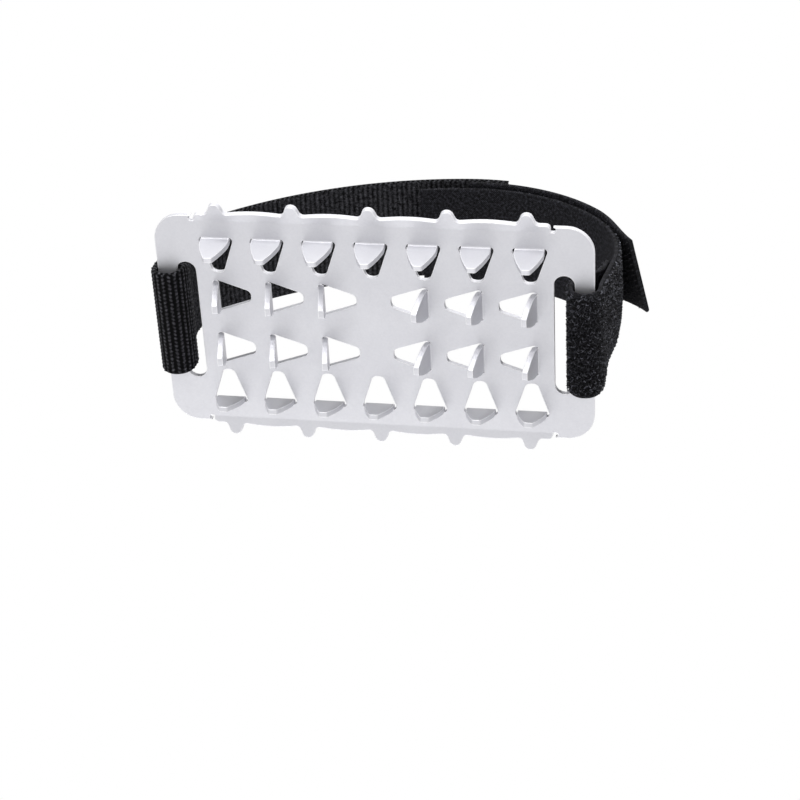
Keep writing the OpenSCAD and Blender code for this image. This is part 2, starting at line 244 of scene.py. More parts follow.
class CleatSizes(bpy.types.PropertyGroup):
    """Sizes of the cloth's detail. Fibres, hooks and yarn are coarser than real ones, so that they show."""

    rib_pitch: length_property("Rib pitch", "Spacing of the cross ribs of the elastic", 1.18)
    rib_height: length_property("Rib height", "Height of a cross rib over its groove", 0.36)
    wale_pitch: length_property("Wale pitch", "Spacing of the knit stitches along a rib", 0.95)
    pile_height: length_property("Pile height", "Height of the loose loops on the loop strap", 0.5)
    pile_spacing: length_property("Pile spacing", "Spacing of the loops on the loop strap", 0.5)
    fibre_radius: length_property("Fibre radius", "Radius of one fibre of the pile", 0.11)
    hook_pitch: length_property("Hook pitch", "Spacing of the hooks on the hook tape", 1.15)
    hook_height: length_property("Hook height", "Height of a hook at the lifted end of the tape", 0.75)
    hook_radius: length_property("Hook radius", "Radius of the hooks' wire", 0.09)
    thread_radius: length_property("Thread radius", "Radius of the sewing thread", 0.2)
    spangle: length_property("Spangle", "Size of the faint crystal patches in the zinc", 7.0)
    seed: IntProperty(name="Seed", description="Seed of the pile's and the hooks' scatter", default=7)


class CleatColours(bpy.types.PropertyGroup):
    """Colours of the finishes."""

    steel: colour_property("Steel", "Zinc-bright sheet steel", "#d6d6da")
    steel_dull: colour_property("Steel, dull", "Duller patches of the sheet", "#cdcdd2")
    # Lighter colour for the sheet's edges: a painted highlight.
    steel_edge_highlight: colour_property("Steel, edge", "Rubbed edges of the sheet", "#f4f4f6")
    # The elastic's light colour is a painted highlight on its ribs; the black one is painted shade in its
    # grooves, and also the real black of the other cloth, the fibres and the thread.
    elastic: colour_property("Elastic", "Light yarn on the ribs of the elastic", "#74747a")
    black_and_groove_shade: colour_property("Elastic groove", "Grooves between the ribs", "#050506")
    weave: colour_property("Woven ground", "Light threads of the loop strap and hook tape", "#36363c")
    pile: colour_property("Pile", "Light loops of the loop strap", "#7a7b84")
    hook: colour_property("Hook", "Light hooks", "#26262a")
    thread: colour_property("Thread", "Sewing thread", "#161618")
    floor: colour_property("Floor", "Studio floor", "#fafafa")


# Headings are degrees from +X toward +Z, on points given as X and Z in millimetres.


def along(h):
    """Unit step on a heading: cosine and sine."""
    return np.stack([np.cos(np.radians(h)), np.sin(np.radians(h))], -1)


def left(h):
    """Unit step to the left of a heading: the heading turned by a quarter."""
    return along(np.asarray(h) + 90)


def right(h):
    """Unit step to the right of a heading."""
    return -left(h)


def share(p, q, d):
    """The two factors that bring steps p and q together to step d, by Cramer's rule."""
    def cross(a, b):
        return a[0] * b[1] - a[1] * b[0]
    return cross(d, q) / cross(p, q), cross(p, d) / cross(p, q)


def arc(c, r, a, b):
    """Points on a circle of centre c and radius r, evenly from angle a to angle b."""
    n = max(int(abs(math.radians(b - a)) * r / POINT_STEP), 2)
    return c + r * along(np.linspace(a, b, n))


def chain(*corners):
    """Points on straight pieces between the corners, evenly along each."""
    rows = []
    for p, q in zip(corners[:-1], corners[1:]):
        n = max(int(np.linalg.norm(np.subtract(q, p)) / POINT_STEP), 2)
        rows.append(np.linspace(p, q, n))
    return np.concatenate(rows)


def step_up(x, a, b):
    """Smooth step from 0 at a to 1 at b: 3 u^2 - 2 u^3."""
    u = np.clip((x - a) / (b - a), 0, 1)
    return u * u * (3 - 2 * u)


def swell(z, begin, top, end):
    """Smooth step up from begin to top, times a smooth step down from top to end."""
    return step_up(z, begin, top) * (1 - step_up(z, top, end))


def fall(v, sag):
    """Points of a strap that falls toward -X: x - sag x u x (u^2 x fallen - share x bulge).

    u goes from 0 to 1 across the strap, and fallen and bulge swell with the height over the plate.
    """
    u = np.clip((v[..., 1] - LOOP_SHIFT) / STRAP_W + 0.5, 0, 1)
    fallen = swell(v[..., 2], *SAG_HEIGHTS)
    bulge = swell(v[..., 2], *BULGE_HEIGHTS)
    x = v[..., 0] - sag * u * (u * u * fallen - BULGE_SHARE * bulge)
    return np.concatenate([x[..., None], v[..., 1:]], -1)


class Track:
    """Middle line of a strap, read by the length along it.

    The given points are spread evenly, then each is replaced by the mean of its neighbours
    under a bell curve of width soften, with the ends turned over so that they stay put.
    """

    def __init__(self, parts, soften):
        self.twist_from, self.twist, self.shift, self.sag = 0.0, 0.0, 0.0, 0.0
        p = np.concatenate(parts)
        p = p[np.concatenate([[True], np.linalg.norm(np.diff(p, axis=0), axis=1) > 1e-6])]
        p = self.even(p)
        k = int(4 * soften / TRACK_STEP)
        bell = np.exp(-0.5 * (np.arange(-k, k + 1) * TRACK_STEP / soften) ** 2)
        bell /= bell.sum()
        wide = np.concatenate([2 * p[0] - p[k:0:-1], p, 2 * p[-1] - p[-2:-k - 2:-1]])
        soft = np.stack([np.convolve(wide[:, i], bell, "valid") for i in (0, 1)], 1)
        self.p = self.even(soft)
        self.s = self.lengths(self.p)
        t = np.gradient(self.p, axis=0)
        t /= np.linalg.norm(t, axis=1)[:, None]
        self.n = np.stack([-t[:, 1], t[:, 0]], 1)

    @staticmethod
    def lengths(p):
        """Length along the points up to each of them."""
        return np.concatenate([[0], np.cumsum(np.linalg.norm(np.diff(p, axis=0), axis=1))])

    @classmethod
    def even(cls, p):
        """The same line through points spread evenly along it."""
        s = cls.lengths(p)
        e = np.linspace(0, s[-1], int(s[-1] / TRACK_STEP) + 1)
        return np.stack([np.interp(e, s, p[:, i]) for i in (0, 1)], 1)

    def at(self, s):
        """Point and left normal at each length s."""
        p = np.stack([np.interp(s, self.s, self.p[:, i]) for i in (0, 1)], -1)
        n = np.stack([np.interp(s, self.s, self.n[:, i]) for i in (0, 1)], -1)
        return p, n / np.linalg.norm(n, axis=-1, keepdims=True)

    def spot(self, s, y, out, ahead=0.0):
        """Points at length s, y across the strap, out along its left normal and ahead along it.

        Past twist_from the section turns about the middle line, by twist x smooth step at the end.
        The whole strap stands aside by shift and falls by sag.
        """
        s, y, out, ahead = np.broadcast_arrays(s, y, out, ahead)
        p, n = self.at(s)
        a = np.radians(self.twist) * step_up(s, self.twist_from, self.s[-1])
        across = y * np.cos(a) - out * np.sin(a) + self.shift
        up = y * np.sin(a) + out * np.cos(a)
        v = np.stack([p[..., 0] + n[..., 0] * up + n[..., 1] * ahead, across,
                      p[..., 1] + n[..., 1] * up - n[..., 0] * ahead], -1)
        return fall(v, self.sag)

    def near(self, point, after=0.0):
        """Length at the sample nearest to a point, past a given length."""
        d = np.linalg.norm(self.p - point, axis=1) + np.where(self.s < after, 1e6, 0)
        return float(self.s[int(d.argmin())])

    def place(self, s):
        """Point of the middle line in the row frame, in metres."""
        p, _ = self.at(np.array([s]))
        return (float(p[0, 0]) * MM, 0.0, float(p[0, 1]) * MM)


def work_out_tracks():
    """Middle lines of the elastic, the hook tape and the loop strap, by the source's own steps."""
    bar = {j["name"]: np.array(j["pos_m"])[[0, 2]] / MM for j in frame["joints"]}
    bar_a, bar_b = bar["elastic_swing"], bar["loop_swing"]
    fold_r = math.hypot(BAR_W, SHEET_T) / 2 + FOLD_GAP
    h0, h1, h3, h5 = 90 + ELASTIC_RISE_LEAN, SHOULDER_SLOPE, CROWN_SLOPE, -LIFT_SLOPE
    h6 = h5 - TIP_TURN

    seam0 = bar_a + (-ELASTIC_LEAN, FOLD_MEET_H)
    seam1 = seam0 + FOLD_SEAM_L * along(h0)
    off = (ELASTIC_T + SEWN_GAP) / 2
    a0 = seam1 + off * right(h0)
    a1 = a0 + SHOULDER_R * (left(h1) - left(h0))
    a5 = np.array([bar_b[0], LIFT_H])
    crown_r, front_r = share(left(h3) - left(h1), left(h5) - left(h3), a5 - a1)
    shoulder_c = a0 + SHOULDER_R * right(h0)
    crown_c = a1 + crown_r * right(h1)
    front_c = a5 + front_r * right(h5)

    r = fold_r + ELASTIC_T / 2
    elastic = Track([
        chain(
            seam1 - FOLD_END_BACK * along(h0) + off * left(h0),
            seam0 + off * left(h0),
            bar_a + (-r, FOLD_SIDE_H),
            bar_a + (-r, 0),
        ),
        arc(bar_a, r, 180, 360),
        chain(bar_a + (r, 0), bar_a + (r, FOLD_SIDE_H), seam0 + off * right(h0), a0),
        arc(shoulder_c, SHOULDER_R, h0 + 90, h1 + 90),
        arc(crown_c, crown_r, h1 + 90, h3 + 90),
        arc(front_c, front_r, h3 + 90, h3 - math.degrees(TAPE_OVERLAP / front_r) + 90),
    ], STRAP_SOFTEN)

    tape_in = ELASTIC_T / 2 + SEWN_GAP + TAPE_T / 2
    tape_r = front_r - tape_in
    tip_c = front_c + (tape_r - TIP_R) * left(h5)
    tape = Track([
        arc(front_c, tape_r, h3 + 90, h5 + 90),
        arc(tip_c, TIP_R, h5 + 90, h6 + 90),
    ], TAPE_SOFTEN)
    tape.twist_from = tape.near(a5 + tape_in * right(h5))
    tape.twist, tape.shift = TIP_TWIST, TAPE_SHIFT

    loop_in = tape_in + TAPE_T / 2 + LAY_GAP + LOOP_T / 2
    lean = 90 - LOOP_RISE_LEAN
    rb = fold_r + LOOP_T / 2
    start = bar_b + (rb, FOLD_SIDE_H)
    meet = a5 + loop_in * right(h5)
    rise_l, rise_r = share(along(lean), right(h5 + 180) - right(lean), meet - start)
    rise_p = start + rise_l * along(lean)
    rise_c = rise_p + rise_r * left(lean)
    inner = start + (FOLD_MEET_H - FOLD_SIDE_H) * along(lean) + (LOOP_T + SEWN_GAP) * left(lean)
    loop_r = front_r - loop_in
    tail = math.degrees(LOOP_TAIL / crown_r)
    loop = Track([
        chain(
            inner + (FOLD_SEAM_L - FOLD_END_BACK) * along(lean),
            inner,
            bar_b + (-rb, FOLD_SIDE_H),
            bar_b + (-rb, 0),
        ),
        arc(bar_b, rb, 180, 360),
        chain(bar_b + (rb, 0), start, rise_p),
        arc(rise_c, rise_r, lean - 90, h5 + 90),
        arc(front_c, loop_r, h5 + 90, h3 + 90),
        arc(crown_c, crown_r - loop_in, h3 + 90, h3 + tail + 90),
    ], STRAP_SOFTEN)
    loop.sag, loop.shift = LOOP_SAG, LOOP_SHIFT

    h2, h4 = (h1 + h3) / 2, (h3 + h5) / 2
    turns = {
        "elastic_up": a0,
        "shoulder": shoulder_c + SHOULDER_R * left((h0 + h1) / 2),
        "left": crown_c + crown_r * left((h1 + h2) / 2),
        "crown": crown_c + crown_r * left((h2 + h3) / 2),
        "tape_root": front_c + tape_r * left((h3 + h4) / 2),
        "tape_middle": front_c + tape_r * left((h4 + h5) / 2),
        "loop_up": start + (rise_l - BEND_GAP / 2) * along(lean),
        "rise": rise_c + rise_r * along((lean + h5) / 2),
        "loop_shoulder": front_c + loop_r * left((h5 + h4) / 2),
        "loop_span": front_c + loop_r * left((h4 + h3) / 2),
        "seam_a": (seam0 + seam1) / 2 - BEND_GAP / 2 * along(h0),
        "seam_b": inner + (FOLD_SEAM_L - BEND_GAP) / 2 * along(lean)
        - (LOOP_T + SEWN_GAP) / 2 * left(lean),
    }
    return elastic, tape, loop, turns, (front_c, front_r, h0, lean)


# The three tracks, the places where pieces meet and seams lie, and the seams' centre, radius and headings.
ELASTIC, TAPE, LOOP, TURN, SEAMS = work_out_tracks()


class Mesh:
    """Vertices, faces and vertex values of one piece, gathered part by part, in millimetres."""

    def __init__(self):
        self.v, self.f, self.uv, self.relief = [], [], [], []
        self.count = 0

    def add(self, v, quads, uv, relief, slot, closed=()):
        """One part: vertices, quads and, for each open end, the ring of vertices that closes it."""
        self.v.append(v)
        self.uv.append(uv)
        self.relief.append(relief)
        self.f.append((quads + self.count, slot))
        for ring in closed:
            self.f.append((ring[None, :] + self.count, slot))
        self.count += len(v)

    def make(self, name, materials):
        """The piece as an object in the scene, its place in its mesh, with a cloth map and a relief value."""
        v = np.concatenate(self.v) * MM
        uv = np.concatenate(self.uv)
        mesh = bpy.data.meshes.new(name)
        mesh.vertices.add(len(v))
        mesh.vertices.foreach_set("co", v.astype(np.float32).ravel())
        loops = np.concatenate([f.ravel() for f, _ in self.f])
        totals = np.concatenate([np.full(len(f), f.shape[1]) for f, _ in self.f])
        slots = np.concatenate([np.full(len(f), s) for f, s in self.f])
        mesh.loops.add(len(loops))
        mesh.loops.foreach_set("vertex_index", loops.astype(np.int32))
        mesh.polygons.add(len(totals))
        mesh.polygons.foreach_set("loop_start", (np.cumsum(totals) - totals).astype(np.int32))
        mesh.polygons.foreach_set("material_index", slots.astype(np.int32))
        mesh.polygons.foreach_set("use_smooth", totals == 4)
        mesh.update(calc_edges=True)
        mesh.set_sharp_from_angle(angle=math.radians(SHARP_ANGLE))
        layer = mesh.uv_layers.new(name="cloth")
        layer.data.foreach_set("uv", uv[loops].astype(np.float32).ravel())
        relief = mesh.attributes.new("relief", "FLOAT", "POINT")
        relief.data.foreach_set("value", np.concatenate(self.relief).astype(np.float32))
        for m in materials:
            mesh.materials.append(m)
        piece = bpy.data.objects.new(name, mesh)
        bpy.context.scene.collection.objects.link(piece)
        return piece


def ring_quads(rows, columns):
    """Quads of a grid whose columns close into a ring."""
    i, j = np.meshgrid(np.arange(rows - 1), np.arange(columns), indexing="ij")
    k = (j + 1) % columns
    this, after = i * columns, (i + 1) * columns
    return np.stack([this + j, this + k, after + k, after + j], -1).reshape(-1, 4)


def add_band(mesh, track, s0, s1, step, width, thick, across, relief, slot):
    """Strap of a flat section with half-round edges, carried along a track from s0 to s1.

    Point = track + left normal x (half thickness + relief) on the left face, the same with a
    minus sign on the right face, and y across the width. relief(s, y, side) gives the height
    in millimetres and a value from 0 to 1 for the material.
    """
    s = np.linspace(s0, s1, max(int(round((s1 - s0) / step)), 2) + 1)
    half = thick / 2
    flat = width / 2 - half
    face = np.linspace(-flat, flat, across)
    a = np.radians(np.linspace(90, -90, EDGE_POINTS + 2)[1:-1])
    level, edge = np.ones(across), np.zeros(EDGE_POINTS)
    y = np.concatenate([face, flat + half * np.cos(a), face[::-1], -flat - half * np.cos(a)])
    n = np.concatenate([half * level, half * np.sin(a), -half * level, -half * np.sin(a)])
    side = np.concatenate([level, edge, -level, edge])
    height, value = relief(s[:, None], y[None, :], side[None, :])
    out = n[None, :] + height * side[None, :]
    v = track.spot(s[:, None], y[None, :], out)
    uv = np.stack(np.broadcast_arrays(s[:, None], y[None, :]), -1) / CLOTH_UNIT
    ring = np.arange(len(y))
    ends = (ring, ring[::-1] + (len(s) - 1) * len(y))
    mesh.add(v.reshape(-1, 3), ring_quads(len(s), len(y))[:, ::-1], uv.reshape(-1, 2),
             np.broadcast_to(value, out.shape).ravel(), slot, ends)


def add_wires(mesh, lines, radius, sides, uv, relief, slot):
    """Tubes of one radius round many lines at once: lines is wires x points x 3.

    Each ring lies across the line's own step, on two directions square to it, and a ring
    narrows to half at both ends.
    """
    step = np.gradient(lines, axis=1)
    step /= np.linalg.norm(step, axis=2, keepdims=True)
    pole = np.where(np.abs(step[..., 1:2]) > 0.9, [[[1.0, 0, 0]]], [[[0, 1.0, 0]]])
    one = np.cross(step, pole)
    one /= np.linalg.norm(one, axis=2, keepdims=True)
    two = np.cross(step, one)
    a = np.linspace(0, 2 * np.pi, sides, endpoint=False)
    count, points = lines.shape[:2]
    r = np.full(points, radius)
    r[[0, -1]] *= 0.5
    ring = np.cos(a)[:, None] * one[:, :, None, :] + np.sin(a)[:, None] * two[:, :, None, :]
    v = lines[:, :, None, :] + r[None, :, None, None] * ring
    each = points * sides
    first = (np.arange(count) * each)[:, None, None]
    quads = (ring_quads(points, sides)[None] + first).reshape(-1, 4)
    rim = np.arange(sides)
    ends = (np.stack([rim[::-1], rim + (points - 1) * sides])[None] + first).reshape(-1, sides)
    before = mesh.count
    mesh.add(v.reshape(-1, 3), quads, np.repeat(uv, each, 0), np.repeat(relief, each), slot)
    mesh.f.append((ends + before, slot))


def put(tree, kind, settings=None, inputs=None):
    """Adds one node: its settings, then its inputs, each a value or a (node, output) to link."""
    node = tree.nodes.new(kind)
    for key, value in (settings or {}).items():
        setattr(node, key, value)
    for key, value in (inputs or {}).items():
        if isinstance(value, tuple) and len(value) == 2 and isinstance(value[0], bpy.types.Node):
            tree.links.new(value[0].outputs[value[1]], node.inputs[key])
        else:
            node.inputs[key].default_value = value
    return node


def start_material(name):
    """An empty material with its output and shader."""
    material = bpy.data.materials.new(name)
    material.use_nodes = True
    tree = material.node_tree
    tree.nodes.clear()
    shader = put(tree, "ShaderNodeBsdfPrincipled")
    put(tree, "ShaderNodeOutputMaterial", None, {"Surface": (shader, "BSDF")})
    return material, tree, shader


def link(tree, node, output, shader, socket):
    """Joins a node's output to a socket of the shader."""
    tree.links.new(node.outputs[output], shader.inputs[socket])


def zinc_steel(colours, sizes):
    """Bright zinc-plated sheet steel, pressed: satin, with faint crystal patches, soft edges and a painted
    highlight along the edges.
    """
    material, tree, shader = start_material("zinc_plated_pressed_steel")
    shader.inputs["Metallic"].default_value = 1.0
    place = put(tree, "ShaderNodeTexCoord")
    patch = put(tree, "ShaderNodeTexNoise", None, {
        "Vector": (place, "Object"), "Scale": 1 / sizes.spangle, "Detail": 3.0, "Roughness": 0.6})
    tone = put(tree, "ShaderNodeMix", {"data_type": "RGBA"}, {
        0: (patch, "Fac"), 6: colours.steel_dull, 7: colours.steel})
    edge = put(tree, "ShaderNodeBevel", {"samples": 6}, {"Radius": 0.3 * MM})
    face = put(tree, "ShaderNodeNewGeometry")
    level = put(tree, "ShaderNodeVectorMath", {"operation": "DOT_PRODUCT"}, {
        0: (edge, "Normal"), 1: (face, "Normal")})
    # Painted highlight: at the edges, where the bevelled normal turns away from the face's own, the colour
    # goes over to the lighter edge colour.
    edge_highlight = put(tree, "ShaderNodeMapRange", None, {
        "Value": (level, "Value"), "From Min": 0.95, "From Max": 0.998, "To Min": 1.0, "To Max": 0.0})
    colour = put(tree, "ShaderNodeMix", {"data_type": "RGBA"}, {
        0: (edge_highlight, "Result"), 6: (tone, 2), 7: colours.steel_edge_highlight})
    link(tree, colour, 2, shader, "Base Color")
    grit = put(tree, "ShaderNodeTexNoise", None, {
        "Vector": (place, "Object"), "Scale": 1 / (0.5 * MM), "Detail": 4.0, "Roughness": 0.65})
    rough = put(tree, "ShaderNodeMapRange", None, {
        "Value": (grit, "Fac"), "From Min": 0.3, "From Max": 0.7, "To Min": 0.52, "To Max": 0.64})
    link(tree, rough, "Result", shader, "Roughness")
    bump = put(tree, "ShaderNodeBump", None, {
        "Height": (grit, "Fac"), "Strength": 0.12, "Distance": 0.05 * MM, "Normal": (edge, "Normal")})
    link(tree, bump, "Normal", shader, "Normal")
    return material


def knitted_elastic(colours):
    """Black knitted elastic: ribs painted lighter in uneven specks, a painted highlight, over grooves painted
    black, a painted shade.
    """
    material, tree, shader = start_material("knitted_polyester_elastic")
    shader.inputs["Roughness"].default_value = 0.8
    shader.inputs["Specular IOR Level"].default_value = 0.08
    relief = put(tree, "ShaderNodeAttribute", {"attribute_name": "relief"})
    cloth = put(tree, "ShaderNodeUVMap", {"uv_map": "cloth"})
    # Yarn 0.25 mm across and stitches 0.9 mm apart.
    yarn = put(tree, "ShaderNodeTexNoise", None, {
        "Vector": (cloth, "UV"), "Scale": CLOTH_UNIT / 0.25, "Detail": 3.0, "Roughness": 0.7})
    stitch = put(tree, "ShaderNodeTexNoise", None, {
        "Vector": (cloth, "UV"), "Scale": CLOTH_UNIT / 0.9, "Detail": 3.0, "Roughness": 0.75})
    uneven = put(tree, "ShaderNodeMath", {"operation": "MULTIPLY"}, {
        0: (stitch, "Fac"), 1: (yarn, "Fac")})
    # Painted light and shade: the ribs' value times the specks lightens the ridges as a painted highlight and
    # leaves the grooves black as painted shade.
    lift = put(tree, "ShaderNodeMath", {"operation": "MULTIPLY"}, {
        0: (relief, "Fac"), 1: (uneven, "Value")})
    tone = put(tree, "ShaderNodeMapRange", None, {
        "Value": (lift, "Value"), "From Min": 0.1, "From Max": 0.38})
    colour = put(tree, "ShaderNodeMix", {"data_type": "RGBA"}, {
        0: (tone, "Result"), 6: colours.black_and_groove_shade, 7: colours.elastic})
    link(tree, colour, 2, shader, "Base Color")
    bump = put(tree, "ShaderNodeBump", None, {
        "Height": (yarn, "Fac"), "Strength": 0.5, "Distance": 0.08 * MM})
    link(tree, bump, "Normal", shader, "Normal")
    return material


def woven_ground(colours):
    """Black woven nylon ground of hook and loop tape: dull, with single threads that catch the light."""
    material, tree, shader = start_material("woven_nylon_ground")
    shader.inputs["Roughness"].default_value = 0.75
    shader.inputs["Specular IOR Level"].default_value = 0.1
    cloth = put(tree, "ShaderNodeUVMap", {"uv_map": "cloth"})
    # Crossings of threads 0.25 mm across, over light lengths of thread of about 0.6 mm.
    weave = put(tree, "ShaderNodeTexChecker", None, {
        "Vector": (cloth, "UV"), "Scale": CLOTH_UNIT / 0.25})
    yarn = put(tree, "ShaderNodeTexNoise", None, {
        "Vector": (cloth, "UV"), "Scale": CLOTH_UNIT / 0.625, "Detail": 3.0, "Roughness": 0.7})
    both = put(tree, "ShaderNodeMath", {"operation": "MULTIPLY_ADD"}, {
        0: (weave, "Fac"), 1: 0.12, 2: (yarn, "Fac")})
    tone = put(tree, "ShaderNodeMapRange", None, {
        "Value": (both, "Value"), "From Min": 0.5, "From Max": 0.76})
    colour = put(tree, "ShaderNodeMix", {"data_type": "RGBA"}, {
        0: (tone, "Result"), 6: colours.black_and_groove_shade, 7: colours.weave})
    link(tree, colour, 2, shader, "Base Color")
    bump = put(tree, "ShaderNodeBump", None, {
        "Height": (both, "Value"), "Strength": 0.4, "Distance": 0.08 * MM})
    link(tree, bump, "Normal", shader, "Normal")
    return material


def fibre(name, dark, light, roughness, bias):
    """Drawn nylon, fibre or hook: each one its own shade, with fewer light ones at a higher bias."""
    material, tree, shader = start_material(name)
    shader.inputs["Roughness"].default_value = roughness
    shader.inputs["Specular IOR Level"].default_value = 0.2
    relief = put(tree, "ShaderNodeAttribute", {"attribute_name": "relief"})
    tone = put(tree, "ShaderNodeMath", {"operation": "POWER"}, {0: (relief, "Fac"), 1: bias})
    shade = put(tree, "ShaderNodeMix", {"data_type": "RGBA"}, {0: (tone, "Value"), 6: dark, 7: light})
    link(tree, shade, 2, shader, "Base Color")
    return material


def sewing_thread(colours):
    """Bonded polyester thread: two plies with a slow twist and a dull shine."""
    material, tree, shader = start_material("bonded_polyester_thread")
    shader.inputs["Roughness"].default_value = 0.5
    place = put(tree, "ShaderNodeTexCoord")
    turn = put(tree, "ShaderNodeMapping", None, {"Vector": (place, "Object"), "Rotation": (0.0, 0.0, 0.6)})
    # Plies 0.4 mm apart.
    ply = put(tree, "ShaderNodeTexWave", {"bands_direction": "Y"}, {
        "Vector": (turn, "Vector"), "Scale": WAVE_PERIOD / (0.4 * MM)})
    colour = put(tree, "ShaderNodeMix", {"data_type": "RGBA"}, {
        0: (ply, "Fac"), 6: colours.black_and_groove_shade, 7: colours.thread})
    link(tree, colour, 2, shader, "Base Color")
    bump = put(tree, "ShaderNodeBump", None, {
        "Height": (ply, "Fac"), "Strength": 0.5, "Distance": 0.05 * MM})
    link(tree, bump, "Normal", shader, "Normal")
    return material


def scene_sizes():
    """The sizes as they are set in the scene."""
    return bpy.context.scene.cleat_sizes


def scene_colours():
    """The colours as they are set in the scene."""
    return bpy.context.scene.cleat_colours


def carry(piece, bodies, track, s0, s1, nodes):
    """Ties a strap piece to one body; a piece between two bodies gets its place baked into its mesh and is
    tied to none, whatever s0 and s1 are.
    """
    if len(bodies) == 1:
        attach(piece, bodies[0])
    else:
        track.place(s0)
        track.place(s1)
        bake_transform(piece)
    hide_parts(*nodes)


def pressed(from_end):
    """How far the seam presses the elastic's outer face in: a smooth step down from the sewn end."""
    return END_PRESS * (1 - step_up(from_end, 0.0, END_PRESS_L))


def knit_relief(sizes):
    """Ribs across the strap, each a row of knit stitches, shifted by half a stitch from rib to rib.

    height = rib height x ridge x (0.65 + 0.35 x stitch), with ridge = (raised cosine of s / rib pitch) ^ 0.7
    and stitch = raised cosine of y / wale pitch. Each stitch slants along its rib, one way on the odd ribs
    and the other way on the even. The inner face's ribs lie a quarter of a pitch further on, and the outer
    face is pressed flat toward the sewn end. The material's value is ridge x (0.5 + 0.5 x stitch), which
    paints a highlight on the ridges and shade in the grooves. On the inner face past the fold it is lighter
    and nearly even, a weaker painted light and shade.
    """
    pitch, wale, high = sizes.rib_pitch / MM, sizes.wale_pitch / MM, sizes.rib_height / MM

    def relief(s, y, side):
        k = s / pitch + 0.25 * (side < 0)
        ridge = (0.5 + 0.5 * np.cos(2 * np.pi * k)) ** 0.7
        odd = np.floor(k + 0.5) % 2
        slant = 0.55 * (k - np.floor(k + 0.5)) * (1 - 2 * odd)
        stitch = 0.5 + 0.5 * np.cos(2 * np.pi * (y / wale + odd / 2 + slant))
        # The colour's value: painted highlight on the ridges, painted shade in the grooves, lighter and
        # weaker on the inner face past the fold.
        value = ridge * (0.5 + 0.5 * stitch)
        inner_painted_shading = 0.43 + 0.24 * ridge * (0.7 + 0.3 * stitch)
        value = value + (side < 0) * step_up(s, *INNER_FACE) * (inner_painted_shading - value)
        height = high * ridge * (0.65 + 0.35 * stitch)
        return height - pressed(ELASTIC.s[-1] - s) * (side > 0), value
    return relief


def flat_relief(s, y, side):
    """A level face, with the material's value at one half."""
    return 0.0 * s * y, 0.5 + 0.0 * s * y


class CLEAT_OT_tread_plate(bpy.types.Operator):
    """Gives the pressed tread plate its steel"""

    bl_idname = "cleat.tread_plate"
    bl_label = "Tread plate"

    def execute(self, context):
        plate = frame["nodes"]["tread_plate"]
        plate.data.materials.clear()
        plate.data.materials.append(zinc_steel(scene_colours(), scene_sizes()))
        return {"FINISHED"}


class CLEAT_OT_elastic_strap(bpy.types.Operator):
    """Knits the ribbed elastic strap, from the fold round its bar to the hook tape"""

    bl_idname = "cleat.elastic_strap"
    bl_label = "Elastic strap"

    def execute(self, context):
        sizes = scene_sizes()
        material = knitted_elastic(scene_colours())
        relief = knit_relief(sizes)
        thick = ELASTIC_T - 2 * sizes.rib_height / MM
        step = sizes.rib_pitch / MM / RIB_ROWS
        up = ELASTIC.near(TURN["elastic_up"], PAST_FOLD) - FOLD_CUT_BACK
        bends = [ELASTIC.near(TURN[k], PAST_FOLD) for k in ("shoulder", "left", "crown")]
        cuts = [0.0, up, *bends, ELASTIC.s[-1]]
        rows = (
            ("elastic_fold_webbing", ("elastic_fold",), ["elastic_strap_fold"]),
            ("elastic_rise_webbing", ("elastic_fold", "elastic_shoulder"), ["elastic_strap_shoulder"]),
            ("elastic_shoulder_webbing", ("elastic_shoulder", "elastic_left"), ["elastic_strap_left"]),
            ("elastic_crown_webbing", ("elastic_left", "elastic_crown"), ["elastic_strap_crown"]),
            ("elastic_end_webbing", ("elastic_crown", "tape_root"), ["elastic_strap_end"]),
        )
        for (name, bodies, nodes), s0, s1 in zip(rows, cuts[:-1], cuts[1:]):
            mesh = Mesh()
            add_band(mesh, ELASTIC, s0, s1, step, STRAP_W, thick, ELASTIC_COLUMNS, relief, CLOTH_SLOT)
            carry(mesh.make(name, [material]), bodies, ELASTIC, s0, s1, nodes)
        return {"FINISHED"}


def add_hooks(mesh, track, s0, s1, sizes, slot, height):
    """Rows of nylon hooks on the right face of a track: a short stem that curls over at its top.

    A hook is its side view x the height there, and every other row curls the other way.
    """
    pitch = sizes.hook_pitch / MM
    draw = np.random.default_rng(sizes.seed + int(10 * s0))
    reach = TAPE_W / 2 - HOOK_EDGE
    rows = np.arange(s0 + pitch / 2, s1 - HOOK_END, pitch)
    s, y = np.meshgrid(rows, np.arange(-reach, reach + 0.1, HOOK_COLUMN), indexing="ij")
    way = np.repeat((np.arange(len(rows)) % 2) * 2 - 1, s.shape[1])
    y = y.ravel() + HOOK_STAGGER * way + draw.normal(0, HOOK_SCATTER, s.size)
    s = s.ravel() + draw.normal(0, HOOK_SCATTER, s.size)
    high = (height(s, y) * draw.uniform(*HOOK_SPREAD, s.size))[:, None]
    out = -(TAPE_T / 2 - FACE_BACK) - high * HOOK_UP
    lines = track.spot(s[:, None], y[:, None] + way[:, None] * high * HOOK_OVER, out)
    uv = np.stack([s, y], 1) / CLOTH_UNIT
    shade = draw.uniform(0, 1, s.size)
    add_wires(mesh, lines, sizes.hook_radius / MM, HOOK_SIDES, uv, shade, slot)


